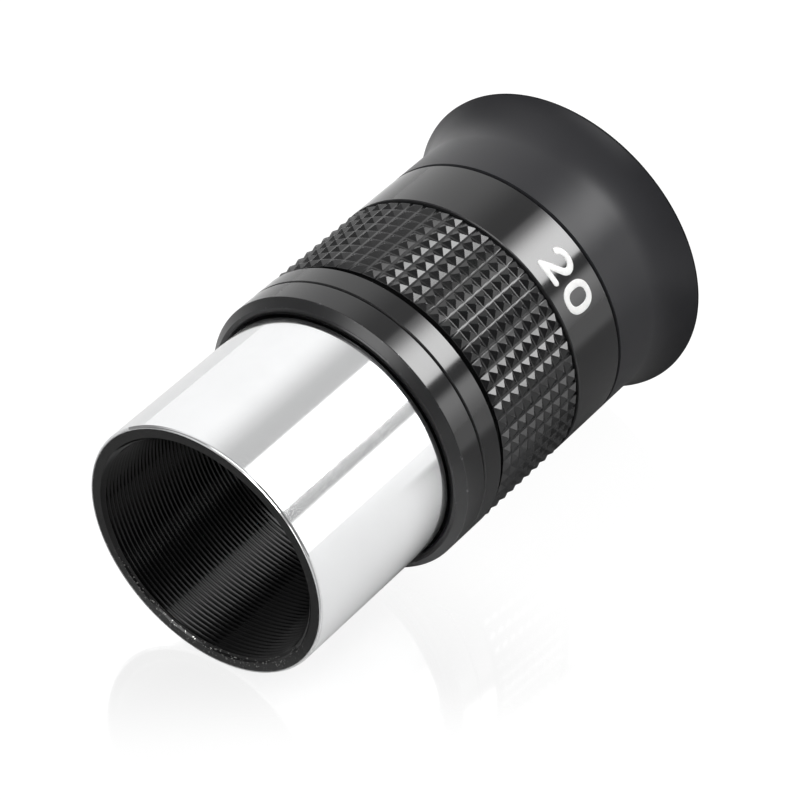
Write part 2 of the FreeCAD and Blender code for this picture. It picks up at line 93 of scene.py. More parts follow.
def rounded(outline, steps=4):
    """Rounds the corners of a closed outline of (radius, station, corner radius). The rows that it gives are
    (radius, station, wear), where wear is 1 on an outward corner, which rubs bare first. A guard row beside
    each rounded corner keeps the wear and the bending of the normals there."""
    guard = 0.12
    count = len(outline)
    area = sum(
        outline[i - 1][0] * outline[i][1] - outline[i][0] * outline[i - 1][1] for i in range(count)
    )
    rows = []
    for number, (radius, station, fillet) in enumerate(outline):
        here = Vector((radius, station))
        if fillet == 0:
            rows.append((radius, station, 0.0))
            continue
        before = Vector(outline[number - 1][:2]) - here
        after = Vector(outline[(number + 1) % count][:2]) - here
        half = before.angle(after) / 2
        reach = fillet / math.tan(half)
        to_before = before.normalized()
        to_after = after.normalized()
        centre = here + (to_before + to_after).normalized() * (fillet / math.sin(half))
        start = here + to_before * reach - centre
        outward = (before.x * after.y - before.y * after.x) * area < 0
        turn = (math.pi - 2 * half) * (1 if (start.x * after.y - start.y * after.x) > 0 else -1)
        if before.length > reach + 2 * guard:
            point = here + to_before * (reach + guard)
            rows.append((point.x, point.y, 0.0))
        for step in range(steps + 1):
            spoke = start.copy()
            spoke.rotate(Matrix.Rotation(turn * step / steps, 2))
            point = centre + spoke
            rows.append((point.x, point.y, 1.0 if outward else 0.0))
        if after.length > reach + 2 * guard:
            point = here + to_after * (reach + guard)
            rows.append((point.x, point.y, 0.0))
    return rows


def mesh_object(name, vertices, faces, wear=(), merge=False, flat_angle=None):
    """A smooth-shaded object made of a closed mesh in metres. Edges sharper than flat_angle stay sharp."""
    mesh = bpy.data.meshes.new(name)
    mesh.from_pydata(vertices, [], faces)
    if len(wear):
        mesh.attributes.new("wear", "FLOAT", "POINT").data.foreach_set("value", wear)
    work = bmesh.new()
    work.from_mesh(mesh)
    if merge:
        bmesh.ops.remove_doubles(work, verts=work.verts, dist=1e-4 * MM)
    if work.calc_volume(signed=True) < 0:
        bmesh.ops.reverse_faces(work, faces=work.faces)
    work.to_mesh(mesh)
    work.free()
    for polygon in mesh.polygons:
        polygon.use_smooth = True
    if flat_angle is not None:
        mesh.set_sharp_from_angle(angle=math.radians(flat_angle))
    thing = bpy.data.objects.new(name, mesh)
    bpy.context.scene.collection.objects.link(thing)
    return thing


def face_outwards(thing):
    """Turns every face of a mesh made of several shells to the outside."""
    work = bmesh.new()
    work.from_mesh(thing.data)
    bmesh.ops.recalc_face_normals(work, faces=work.faces)
    work.to_mesh(thing.data)
    work.free()


def flatten_normals(thing):
    """Weights each vertex normal by face area, so that large faces look flat and only the bevels bend."""
    mesh = thing.data
    totals = [Vector((0, 0, 0)) for _ in mesh.vertices]
    for polygon in mesh.polygons:
        share = polygon.normal * polygon.area
        for index in polygon.vertices:
            totals[index] += share
    mesh.normals_split_custom_set_from_vertices([total.normalized() for total in totals])


def lathe(name, rows, turns=TURNS, thread=None, flat_angle=40):
    """Turns closed rows of (radius, station, wear) about the axis. A row with a fourth value is cut deeper
    by that share of thread(station, share of a turn)."""
    vertices = []
    wear = []
    size = len(rows)
    for turn in range(turns):
        angle = 2 * math.pi * turn / turns
        for row in rows:
            radius = row[0]
            if len(row) == 4:
                radius += row[3] * thread(row[1], turn / turns)
            vertices.append(place(radius, angle, row[1]))
            wear.append(row[2])
    faces = []
    for turn in range(turns):
        here = turn * size
        there = (turn + 1) % turns * size
        for row in range(size):
            following = (row + 1) % size
            faces.append((here + row, here + following, there + following, there + row))
    on_axis = any(row[0] < 1e-6 for row in rows)
    return mesh_object(name, vertices, faces, wear, merge=on_axis, flat_angle=flat_angle)


def cut_slots(thing, start, end, reach):
    """Cuts a pair of spanner slots straight across a ring."""
    width = 1.4
    cutter_mesh = bpy.data.meshes.new("cutter")
    cutter = bpy.data.objects.new("cutter", cutter_mesh)
    bpy.context.scene.collection.objects.link(cutter)
    work = bmesh.new()
    bmesh.ops.create_cube(work, size=1.0)
    for vertex in work.verts:
        vertex.co.x *= 2 * reach * MM
        vertex.co.y = ((start + end) / 2 + vertex.co.y * (end - start)) * MM
        vertex.co.z *= width * MM
    work.to_mesh(cutter_mesh)
    work.free()
    modifier = thing.modifiers.new("slots", "BOOLEAN")
    modifier.object = cutter
    modifier.operation = "DIFFERENCE"
    modifier.solver = "EXACT"
    bpy.context.view_layer.update()
    evaluated = thing.evaluated_get(bpy.context.evaluated_depsgraph_get())
    cut = bpy.data.meshes.new_from_object(evaluated)
    thing.modifiers.clear()
    thing.data = cut
    cut.set_sharp_from_angle(angle=math.radians(40))
    bpy.data.objects.remove(cutter)


# ---------------------------------------------------------------- materials

class Shading:
    """The nodes of one node tree, with short ways to add nodes that calculate."""

    def __init__(self, tree):
        self.nodes = tree.nodes
        self.links = tree.links

    def feed(self, node, key, value):
        """Gives the socket of that name or number a number, a colour or another node's output."""
        socket = node.inputs[key]
        if isinstance(value, bpy.types.NodeSocket):
            self.links.new(value, socket)
        else:
            socket.default_value = value

    def math(self, operation, first, second=0.0):
        node = self.nodes.new("ShaderNodeMath")
        node.operation = operation
        self.feed(node, 0, first)
        self.feed(node, 1, second)
        return node.outputs[0]

    def times(self, first, *others):
        product = first
        for other in others:
            product = self.math("MULTIPLY", product, other)
        return product

    def total(self, base, *parts):
        """The base plus value times amount for each of the parts."""
        result = base
        for value, amount in parts:
            result = self.math("ADD", self.math("MULTIPLY", value, amount), result)
        return result


class Look(Shading):
    """A node material on a Principled shader, with short ways to add textures."""

    def __init__(self, name, colour, roughness, metallic=0.0, ior=1.5):
        self.material = bpy.data.materials.new(name)
        self.material.use_nodes = True
        super().__init__(self.material.node_tree)
        self.shader = self.nodes["Principled BSDF"]
        self.feed(self.shader, "Base Color", (*colour, 1))
        self.feed(self.shader, "Roughness", roughness)
        self.feed(self.shader, "Metallic", metallic)
        self.feed(self.shader, "IOR", ior)
        texture = self.nodes.new("ShaderNodeTexCoord")
        self.coordinates = texture.outputs["Object"]
        self.normal = texture.outputs["Normal"]
        self.height = None

    def fit_texture(self, node, size_mm, stretch, seed):
        """Gives a 4D texture a pattern of about that size, longer along the axes that stretch scales down."""
        mapping = self.nodes.new("ShaderNodeMapping")
        self.feed(mapping, "Scale", stretch)
        self.feed(mapping, "Vector", self.coordinates)
        self.feed(node, "W", seed)
        self.feed(node, "Scale", 1 / (size_mm * MM))
        self.feed(node, "Vector", mapping.outputs["Vector"])

    def noise(self, size_mm, detail, stretch=(1, 1, 1), seed=0.0):
        """Smooth noise from 0 to 1."""
        node = self.nodes.new("ShaderNodeTexNoise")
        node.noise_dimensions = "4D"
        self.fit_texture(node, size_mm, stretch, seed)
        self.feed(node, "Detail", detail)
        return node.outputs["Fac"]

    def cells(self, size_mm, seed):
        """Distance to the nearest of scattered points."""
        node = self.nodes.new("ShaderNodeTexVoronoi")
        node.voronoi_dimensions = "4D"
        self.fit_texture(node, size_mm, (1, 1, 1), seed)
        return node.outputs["Distance"]

    def component(self, vector, axis):
        split = self.nodes.new("ShaderNodeSeparateXYZ")
        self.feed(split, 0, vector)
        return split.outputs[axis]

    def facing_axis(self):
        """How squarely the surface faces along the optical axis, from 0 to 1."""
        return self.math("ABSOLUTE", self.component(self.normal, "Y"))

    def position_mm(self, axis):
        return self.math("DIVIDE", self.component(self.coordinates, axis), MM)

    def wear(self):
        """1 on the outward corners of a mesh, and 0 elsewhere."""
        node = self.nodes.new("ShaderNodeAttribute")
        node.attribute_name = "wear"
        return node.outputs["Fac"]

    def between(self, value, low, high):
        """Rises smoothly from 0 at low to 1 at high."""
        node = self.nodes.new("ShaderNodeMapRange")
        node.interpolation_type = "SMOOTHSTEP"
        self.feed(node, "Value", value)
        self.feed(node, "From Min", low)
        self.feed(node, "From Max", high)
        return node.outputs["Result"]

    def mix(self, share, first, second):
        """A colour that goes from first to second."""
        node = self.nodes.new("ShaderNodeMix")
        node.data_type = "RGBA"
        self.feed(node, "Factor", share)
        for socket, value in ((6, first), (7, second)):
            self.feed(node, socket, (*value, 1) if isinstance(value, tuple) else value)
        return node.outputs[2]

    def set(self, socket_name, value):
        self.feed(self.shader, socket_name, value)

    def bump(self, value, depth_mm, strength):
        """Raises the surface by up to that depth, on top of earlier bumps."""
        node = self.nodes.new("ShaderNodeBump")
        self.feed(node, "Strength", strength)
        self.feed(node, "Distance", depth_mm * MM)
        self.feed(node, "Height", value)
        if self.height is not None:
            self.feed(node, "Normal", self.height)
        self.height = node.outputs["Normal"]
        self.set("Normal", self.height)


ROUND_THE_AXIS = (0.04, 1, 0.04)
LONG_SCRATCHES = (0.012, 1, 0.012)


def chrome_look():
    look = Look("bright_chrome", (0.79, 0.795, 0.80), 0.05, metallic=1.0)
    haze = look.between(look.noise(6.0, 4.0), 0.35, 0.75)
    polish = look.between(look.noise(0.35, 5.0, ROUND_THE_AXIS), 0.45, 0.75)
    pits = look.between(look.noise(0.035, 1.0, seed=11.0), 0.585, 0.60)
    look.set("Roughness", look.total(0.035, (polish, 0.03), (haze, 0.025), (pits, 0.18)))
    look.set("Base Color", look.mix(haze, (0.795, 0.80, 0.805), (0.775, 0.78, 0.785)))
    scratch = look.between(look.noise(0.12, 2.0, LONG_SCRATCHES, seed=3.0), 0.70, 0.76)
    patch = look.between(look.noise(5.0, 2.0, seed=5.0), 0.52, 0.60)
    look.bump(look.times(scratch, patch), 0.002, 0.5)
    look.bump(look.noise(2.5, 2.0, seed=9.0), 0.001, 0.2)
    return look.material


def anodised_look():
    look = Look("black_anodised", (0.003, 0.003, 0.0035), 0.11, ior=1.55)
    cloud = look.noise(4.0, 5.0)
    lines = look.noise(0.09, 3.0, ROUND_THE_AXIS, seed=2.0)
    turned = look.between(look.facing_axis(), 0.25, 0.6)
    look.set("Roughness", look.total(0.06, (lines, 0.04), (cloud, 0.05), (turned, 0.20)))
    rubbed = look.between(look.noise(0.4, 5.0, seed=4.0), 0.60, 0.72)
    bare = look.times(look.wear(), rubbed, 0.5)
    plain = look.mix(cloud, (0.002, 0.002, 0.0025), (0.005, 0.005, 0.0055))
    tint = look.mix(turned, plain, (0.022, 0.022, 0.023))
    look.set("Base Color", look.mix(bare, tint, (0.30, 0.30, 0.31)))
    look.set("Metallic", bare)
    look.bump(lines, 0.0012, 0.3)
    look.bump(look.noise(0.05, 2.0, seed=6.0), 0.0008, 0.3)
    return look.material


def bore_look():
    """Dull black, greyer on the faces that are turned flat, and chipped where the mouth is knocked."""
    look = Look("black_bore", (0.002, 0.002, 0.0025), 0.22, ior=1.48)
    cloud = look.noise(2.0, 4.0, seed=1.0)
    look.set("Roughness", look.total(0.16, (cloud, 0.12)))
    chip = look.between(look.noise(0.24, 2.0, seed=8.0), 0.61, 0.66)
    at_mouth = look.between(look.position_mm("Y"), 1.0, 0.5)
    bare = look.times(look.wear(), chip, at_mouth)
    worked = look.between(look.noise(0.5, 3.0, seed=5.0), 0.35, 0.65)
    face = look.times(look.between(look.facing_axis(), 0.85, 0.97), worked)
    plain = look.mix(cloud, (0.001, 0.001, 0.0012), (0.003, 0.003, 0.0033))
    tint = look.mix(face, plain, (0.014, 0.014, 0.014))
    look.set("Base Color", look.mix(bare, tint, (0.60, 0.60, 0.58)))
    look.set("Metallic", look.times(bare, 0.8))
    look.bump(look.noise(0.06, 3.0, seed=2.0), 0.004, 0.4)
    return look.material


def grip_look():
    look = Look("grip_rubber", (0.003, 0.003, 0.0035), 0.2)
    cloud = look.noise(3.0, 4.0, seed=1.5)
    grain = look.noise(0.08, 3.0, seed=2.5)
    look.set("Roughness", look.total(0.11, (grain, 0.06), (cloud, 0.08)))
    worn = look.times(look.wear(), look.between(cloud, 0.35, 0.7))
    tint = look.mix(cloud, (0.006, 0.006, 0.0065), (0.010, 0.010, 0.0105))
    look.set("Base Color", look.mix(worn, tint, (0.03, 0.03, 0.033)))
    look.bump(grain, 0.004, 0.3)
    return look.material


def cup_look():
    look = Look("cup_rubber", (0.030, 0.030, 0.033), 0.36, ior=1.31)
    cloud = look.noise(7.0, 5.0, seed=0.5)
    grain = look.noise(0.07, 4.0, seed=1.0)
    look.set("Roughness", look.total(0.22, (grain, 0.10), (cloud, 0.14)))
    dust = look.between(look.cells(0.9, seed=2.0), 0.05, 0.02)
    handled = look.between(look.noise(3.5, 3.0, seed=7.0), 0.5, 0.7)
    tint = look.mix(cloud, (0.026, 0.026, 0.029), (0.033, 0.033, 0.036))
    look.set("Base Color", look.mix(look.times(dust, handled, 0.25), tint, (0.20, 0.20, 0.20)))
    look.bump(grain, 0.010, 0.4)
    return look.material


def paint_look():
    look = Look("white_paint", (0.88, 0.88, 0.87), 0.42)
    cloud = look.noise(0.5, 4.0)
    look.set("Roughness", look.total(0.32, (cloud, 0.2)))
    look.set("Base Color", look.mix(look.between(cloud, 0.3, 0.7), (0.84, 0.84, 0.83), (0.92, 0.92, 0.91)))
    look.bump(look.noise(0.12, 3.0, seed=3.0), 0.006, 0.4)
    return look.material


def glass_look():
    """Clear glass with a thin coating and a few specks of dust."""
    look = Look("coated_glass", (0.97, 0.99, 0.97), 0.0, ior=1.52)
    look.set("Transmission Weight", 1.0)
    look.set("Thin Film Thickness", 380.0)
    look.set("Thin Film IOR", 1.38)
    speck = look.between(look.cells(1.6, seed=4.0), 0.030, 0.012)
    look.set("Base Color", look.mix(speck, (0.97, 0.99, 0.97), (0.55, 0.55, 0.52)))
    look.set("Roughness", look.times(speck, 0.5))
    return look.material


def steel_look():
    look = Look("blackened_steel", (0.10, 0.10, 0.105), 0.38, metallic=1.0)
    cloud = look.noise(0.4, 4.0)
    look.set("Roughness", look.total(0.25, (cloud, 0.25)))
    look.set("Base Color", look.mix(cloud, (0.07, 0.07, 0.075), (0.16, 0.16, 0.165)))
    return look.material


LOOKS = {
    "chrome": chrome_look(),
    "black_anodised": anodised_look(),
    "black_bore": bore_look(),
    "grip_rubber": grip_look(),
    "cup_rubber": cup_look(),
    "white_paint": paint_look(),
    "coated_glass": glass_look(),
    "steel": steel_look(),
}


def finish_piece(thing, slot, node):
    """Gives a piece its material, and fixes it to the body in place of a CAD node."""
    thing.data.materials.clear()
    thing.data.materials.append(LOOKS[slot])
    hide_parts(node)
    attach(thing, BODY)


# ---------------------------------------------------------------- nosepiece

FILTER_PITCH = 0.6
THREAD_DEPTH = 0.30
THREAD_CREST = 13.95          # radius of the ridges' tops
THREAD_END = 19.7             # station where the thread has run out
STEPS_PER_PITCH = 12
CREST_SHARE = 0.14            # shares of half a pitch
SLOPE_SHARE = 0.74
SLEEVE_SEAT = 15.6            # radius where the tube and the sleeve meet


def thread_depth(station, share_of_turn):
    """How deep the thread's groove is there, with a flat crest and root."""
    phase = (station / FILTER_PITCH - share_of_turn) % 1.0
    slope = 1 - abs(2 * phase - 1)
    return THREAD_DEPTH * min(max((slope - CREST_SHARE) / SLOPE_SHARE, 0.0), 1.0)


def make_sleeve():
    start, end, radius = span("chrome_sleeve")
    bore = SLEEVE_SEAT + 0.015
    rows = rounded([(bore, start, 0), (radius, start, 0.2), (radius, end, 0.06), (bore, end, 0)], steps=6)
    thing = lathe("nosepiece_sleeve", rows)
    flatten_normals(thing)
    finish_piece(thing, "chrome", "chrome_sleeve")


def make_tube():
    start, end, _ = span("nosepiece_tube")
    face = start + 0.02
    chamfer = 0.5
    lead_in_depth, lead_in_start = 0.32, 0.22
    rows = rounded([
        (THREAD_CREST, end, 0),
        (THREAD_CREST, THREAD_END + 0.2, 0),
        (THREAD_CREST + chamfer, face, 0),
        (SLEEVE_SEAT, face, 0.06),
        (SLEEVE_SEAT, end, 0),
    ])
    thread_rows = []
    for step in range(int((THREAD_END - 0.3) / FILTER_PITCH * STEPS_PER_PITCH) + 1):
        station = THREAD_END - FILTER_PITCH * step / STEPS_PER_PITCH
        runout = min((THREAD_END - station) / FILTER_PITCH, 1.0)
        thread_rows.append((THREAD_CREST, station, 0.0, runout))
    thread_rows.append((THREAD_CREST + lead_in_depth, start + lead_in_start, 0.0))
    rows[2:2] = thread_rows
    thing = lathe("nosepiece_tube_threaded", rows, thread=thread_depth, flat_angle=30)
    knock_mouth(thing)
    finish_piece(thing, "black_bore", "nosepiece_tube")


def knock_mouth(thing):
    """Marks the inner edge of the mouth's face as worn, from none at its sides to all at its lowest point."""
    inner, outer, depth = 14.2, 14.9, 0.3
    spared = 0.35
    for vertex, worn in zip(thing.data.vertices, thing.data.attributes["wear"].data):
        radius = math.hypot(vertex.co.x, vertex.co.z) / MM
        if vertex.co.y < depth * MM and inner < radius < outer:
            lowness = -vertex.co.z / MM / radius
            worn.value = max(lowness - spared, 0.0) * 1.6


def make_field_stop():
    start, end, radius = span("field_stop")
    edge = 12.2
    ledge = edge + 0.9
    rows = rounded([
        (edge, (start + end) / 2, 0),
        (ledge, start, 0.04),
        (radius, start, 0),
        (radius, end, 0),
        (ledge, end, 0.04),
    ])
    thing = lathe("field_stop_ring", rows)
    cut_slots(thing, start - 0.5, start + 0.6, radius + 0.5)
    finish_piece(thing, "black_bore", "field_stop")


def make_baffle():
    start, end, radius = span("baffle_ring")
    bore = 12.9
    rows = rounded([(bore, start, 0.08), (radius, start, 0), (radius, end, 0), (bore, end, 0.08)])
    finish_piece(lathe("glare_baffle", rows), "black_bore", "baffle_ring")


# ---------------------------------------------------------------- body

SEAM = 0.05                   # gap that shows as a dark line between two pieces
RING_SEAT = 15.9              # radius of the housing under the marked ring, and of the cell's neck
LENS_BORE = 13.3
CELL_FLANGE = 16.6


def make_collar():
    start, end, radius = span("shoulder_ring")
    end -= SEAM
    bore = 15.9
    bevel = 0.9
    rows = rounded([
        (bore, start, 0),
        (radius - bevel, start, 0.12),
        (radius, start + bevel, 0.16),
        (radius, end, 0.1),
        (bore, end, 0),
    ])
    thing = lathe("shoulder_collar", rows)
    flatten_normals(thing)
    finish_piece(thing, "black_anodised", "shoulder_ring")


def make_housing():
    start, end, radius = span("main_housing")
    start += SEAM
    tube_bore, shelf_bore = 15.62, 12.6
    shelf_start, shelf_end = 29.9, 31.0
    flange_end = 30.12
    grip_seat, grip_seat_end = 16.3, 45.22
    rows = rounded([
        (tube_bore, start, 0),
        (radius, start, 0.1),
        (radius, flange_end, 0.1),
        (grip_seat, flange_end, 0),
        (grip_seat, grip_seat_end, 0),
        (RING_SEAT, grip_seat_end, 0),
        (RING_SEAT, end, 0),
        (LENS_BORE, end, 0),
        (LENS_BORE, shelf_end, 0),
        (shelf_bore, shelf_end, 0.05),
        (shelf_bore, shelf_start, 0.1),
        (tube_bore, shelf_start, 0),
    ])
    finish_piece(lathe("housing_tube", rows), "black_anodised", "main_housing")


def make_marked_ring():
    start, end, radius = span("marked_ring")
    bore = RING_SEAT + 0.03
    recess, recess_start = CELL_FLANGE + 0.05, 52.33
    rows = rounded([
        (bore, start, 0),
        (radius, start, 0.07),
        (radius, end, 0.12),
        (recess, end, 0),
        (recess, recess_start, 0),
        (bore, recess_start, 0),
    ])
    finish_piece(lathe("number_ring", rows), "black_anodised", "marked_ring")


def make_cell():
    start, end, _ = span("eye_lens_cell")
    lip_bore, lens_seat, lens_seat_start = 11.2, 11.85, 50.5
    stem = LENS_BORE - 0.05
    flange_start, flange_end = 52.35, 53.2
    groove, groove_start, groove_end = 15.5, 56.1, 57.3
    mouth, mouth_start = 14.2, 57.9
    rows = rounded([
        (lip_bore, start, 0.05),
        (stem, start, 0),
        (stem, flange_start, 0),
        (CELL_FLANGE, flange_start, 0),
        (CELL_FLANGE, flange_end, 0.05),
        (RING_SEAT, flange_end, 0),
        (RING_SEAT, groove_start, 0),
        (groove, groove_start, 0),
        (groove, groove_end, 0),
        (RING_SEAT, groove_end, 0),
        (RING_SEAT, end, 0.15),
        (mouth, end, 0.12),
        (lens_seat, mouth_start, 0.06),
        (lens_seat, lens_seat_start, 0),
        (lip_bore, lens_seat_start, 0),
    ])
    finish_piece(lathe("eye_cell", rows), "black_anodised", "eye_lens_cell")


def make_retainer():
    start, end, radius = span("eye_lens_retainer")
    bore = 10.9
    rows = rounded([(bore, start, 0.04), (radius, start, 0), (radius, end, 0.05), (bore, end, 0.18)])
    thing = lathe("eye_retainer", rows)
    cut_slots(thing, end - 0.6, end + 0.5, radius + 0.5)
    finish_piece(thing, "black_bore", "eye_lens_retainer")


# ---------------------------------------------------------------- grip

GRIP_COLUMNS = 60
GRIP_ROWS = 9
GRIP_PHASE = math.radians(5.04)
GRIP_STEP = 2 * math.pi / GRIP_COLUMNS
GRIP_BORE = 16.35
GRIP_BASE = 17.42
GRIP_TIP = 17.8
CAP_HALF = 0.07               # half the width of a pyramid's worn top
TOP_RIM_SHARE = 0.985         # height of that top's rim, as a share of the pyramid's
RIDGE_HALF = 0.045            # half the width of the rounding along its ridges
VALLEY_ACROSS = 0.12          # half the width of the flat between two columns
VALLEY_ALONG = 0.04           # half the width of the flat between two rows


def pyramid_rings(across, along, height):
    """Rings of (offset round the axis, offset along it, height, wear) from a cell's border to the pyramid's
    tip. The first two have a point at each corner, and the rest have two, which round the ridges."""
    signs = ((-1, -1), (1, -1), (1, 1), (-1, 1))
    base_across = across - VALLEY_ACROSS
    base_along = along - VALLEY_ALONG
    rings = [
        [(i * across, j * along, 0.0, 0.0) for i, j in signs],
        [(i * base_across, j * base_along, 0.0, 0.0) for i, j in signs],
    ]
    # Shares of the way to the top and of the ridges' rounding, and the wear
    for share, ridge, wear in ((0.09, 0.5, 0.0), (0.9, 1.0, 0.0), (1.0, 1.0, 1.0)):
        half_across = base_across + (CAP_HALF - base_across) * share
        half_along = base_along + (CAP_HALF - base_along) * share
        cut = RIDGE_HALF * ridge
        top = height * min(share, TOP_RIM_SHARE)
        ring = []
        for number, (i, j) in enumerate(signs):
            along_first = (i * half_across, j * (half_along - cut), top, wear)
            across_first = (i * (half_across - cut), j * half_along, top, wear)
            ring += [along_first, across_first] if number % 2 == 0 else [across_first, along_first]
        rings.append(ring)
    return rings


class GripMesh:
    """The grip's vertices, their wear and its faces, gathered column by column."""

    def __init__(self):
        self.vertices = []
        self.wear = []
        self.faces = []

    def add(self, radius, angle, station, worn=0.0):
        self.vertices.append(place(radius, angle, station))
        self.wear.append(worn)
        return len(self.vertices) - 1

    def add_pyramid(self, rings, column_angle, middle):
        """Joins the rings of one pyramid, from its border to its tip."""
        made = []
        for ring in rings:
            made.append([
                self.add(GRIP_BASE + height, column_angle + across / GRIP_BASE, middle + along, worn)
                for across, along, height, worn in ring
            ])
        border, base, foot = made[:3]
        for side in range(4):
            following = (side + 1) % 4
            self.faces.append((border[side], border[following], base[following], base[side]))
            self.faces.append((base[side], base[following], foot[2 * following], foot[2 * side + 1]))
            self.faces.append((base[side], foot[2 * side + 1], foot[2 * side]))
        for lower, upper in zip(made[2:], made[3:]):
            for point in range(8):
                following = (point + 1) % 8
                self.faces.append((lower[point], lower[following], upper[following], upper[point]))
        top = self.add(GRIP_TIP, column_angle, middle, 1.0)
        for point in range(8):
            self.faces.append((made[-1][point], made[-1][(point + 1) % 8], top))

    def add_lining(self, left, start, end):
        """The ends and the bore behind one column."""
        corners = ((GRIP_BASE, end), (GRIP_BORE, end), (GRIP_BORE, start), (GRIP_BASE, start))
        near = [self.add(radius, left, station) for radius, station in corners]
        far = [self.add(radius, left + GRIP_STEP, station) for radius, station in corners]
        for n in range(3):
            self.faces.append((near[n], near[n + 1], far[n + 1], far[n]))


def make_grip():
    start, end, _ = span("grip_sleeve")
    pitch = (end - start) / GRIP_ROWS
    rings = pyramid_rings(GRIP_STEP * GRIP_BASE / 2, pitch / 2, GRIP_TIP - GRIP_BASE)
    grip = GripMesh()
    for column in range(GRIP_COLUMNS):
        for row in range(GRIP_ROWS):
            grip.add_pyramid(rings, GRIP_PHASE + column * GRIP_STEP, start + pitch * (row + 0.5))
    for column in range(GRIP_COLUMNS):
        grip.add_lining(GRIP_PHASE + (column - 0.5) * GRIP_STEP, start, end)
    thing = mesh_object("grip_pyramids", grip.vertices, grip.faces, grip.wear, merge=True)
    face_outwards(thing)
    flatten_normals(thing)
    finish_piece(thing, "grip_rubber", "grip_sleeve")


# ---------------------------------------------------------------- number

PAINT_HEIGHT = 0.05
PAINT_SINK = 0.05
STROKE = 0.82
SIDE_WEIGHT = 0.12            # how much wider an upright stroke is than a level one
NUMBER_ANGLE = math.radians(50.65)
NUMBER_SPACING = 4.32
FIGURE_HALF_HEIGHT = 1.76
CURVE_STEPS = 8               # for the stem of the 2 and for a quarter turn round a stroke's end
CORNER_STEPS = 10             # for the sharp turn of the 2
# The paint's section, as (share of the stroke's half width, share of the paint's height)
STROKE_PROFILE = ((-1.0, 0.0), (-0.93, 0.65), (-0.8, 1.0), (0.0, 1.0), (0.8, 1.0), (0.93, 0.65), (1.0, 0.0))


def two_line():
    """The centreline of a 2, x to the reader's right and y up, and the end of its foot."""
    arch_centre = Vector((-0.02, 0.76))
    arch_across, arch_up = Vector((1.33, 0)), Vector((0, 1.06))
    arch_start, arch_sweep, arch_steps = 160, -206, 24
    points = []
    for step in range(arch_steps + 1):
        turn = math.radians(arch_start + arch_sweep * step / arch_steps)
        points.append(arch_centre + arch_across * math.cos(turn) + arch_up * math.sin(turn))
    last = points[-1]
    control = Vector((-0.10, -0.78))
    corner = Vector((-1.36, -FIGURE_HALF_HEIGHT))
    foot_end = Vector((1.44, -FIGURE_HALF_HEIGHT))
    for step in range(1, CURVE_STEPS + 1):
        share = step / CURVE_STEPS
        points.append(last * (1 - share) ** 2 + control * 2 * share * (1 - share) + corner * share**2)
    return points, foot_end


def zero_line():
    """The centreline of a 0, an oval a little squarer than an ellipse."""
    half_width, fullness, count = 1.40, 0.84, 64
    points = []
    for step in range(count):
        turn = 2 * math.pi * step / count
        x = math.copysign(abs(math.cos(turn)) ** fullness, math.cos(turn))
        y = math.copysign(abs(math.sin(turn)) ** fullness, math.sin(turn))
        points.append(Vector((half_width * x, FIGURE_HALF_HEIGHT * y)))
    return points


def sections_of(points, closed=False, caps=(True, True)):
    """Cross-sections (left edge, right edge) of a round-ended pen stroke along points."""
    half = STROKE / 2
    count = len(points)
    sections = []
    for number, point in enumerate(points):
        if closed:
            along = points[(number + 1) % count] - points[number - 1]
        else:
            along = points[min(number + 1, count - 1)] - points[max(number - 1, 0)]
        along = along.normalized()
        side = Vector((-along.y, along.x))
        side *= half * (1 + SIDE_WEIGHT * abs(side.x))
        section = (point + side, point - side)
        if not closed and number in (0, count - 1) and caps[0 if number == 0 else 1]:
            cap = []
            way = -1 if number == 0 else 1
            for step in range(1, CURVE_STEPS + 1):
                turn = math.pi / 2 * step / CURVE_STEPS
                centre = point + along * (way * half * math.sin(turn))
                across = side * math.cos(turn)
                cap.append((centre + across, centre - across))
            sections += cap[::-1] + [section] if number == 0 else [section] + cap
        else:
            sections.append(section)
    return sections


def corner_sections(before, corner, after):
    """The sections that carry a stroke round a sharp corner: the inner edge stays at one point, and the
    outer edge goes round the corner."""
    half = STROKE / 2
    into = (corner - before).normalized()
    out = (after - corner).normalized()
    side_in = Vector((-into.y, into.x))
    side_out = Vector((-out.y, out.x))
    left_is_inner = into.x * out.y - into.y * out.x > 0
    way = 1 if left_is_inner else -1
    half_turn = into.angle(out) / 2
    middle = (side_in + side_out).normalized()
    inner = corner + middle * (way * half / math.cos(half_turn))
    start = math.atan2(-way * side_in.y, -way * side_in.x)
    turn = 2 * half_turn * way
    sections = []
    for step in range(CORNER_STEPS + 1):
        angle = start + turn * step / CORNER_STEPS
        outer = corner + Vector((math.cos(angle), math.sin(angle))) * half
        sections.append((inner, outer) if left_is_inner else (outer, inner))
    return sections, inner


def stroke_mesh(sections, closed, centre_angle, radius, station, vertices, faces):
    """Adds a stroke of paint, wrapped on the ring and sunk a little into it."""
    size = len(STROKE_PROFILE) + 2
    first = len(vertices)
    for left, right in sections:
        centre = (left + right) / 2
        half = (left - right) / 2
        for share, height in STROKE_PROFILE:
            point = centre - half * share
            vertices.append(place(
                radius + PAINT_HEIGHT * height, centre_angle + point.x / radius, station + point.y
            ))
        for point in (right, left):
            vertices.append(place(radius - PAINT_SINK, centre_angle + point.x / radius, station + point.y))
    count = len(sections)
    for number in range(count if closed else count - 1):
        here = first + number * size
        there = first + (number + 1) % count * size
        for point in range(size):
            following = (point + 1) % size
            faces.append((here + point, here + following, there + following, there + point))
    if not closed:
        faces.append([first + n for n in range(size)])
        last = first + (count - 1) * size
        faces.append([last + n for n in reversed(range(size))])


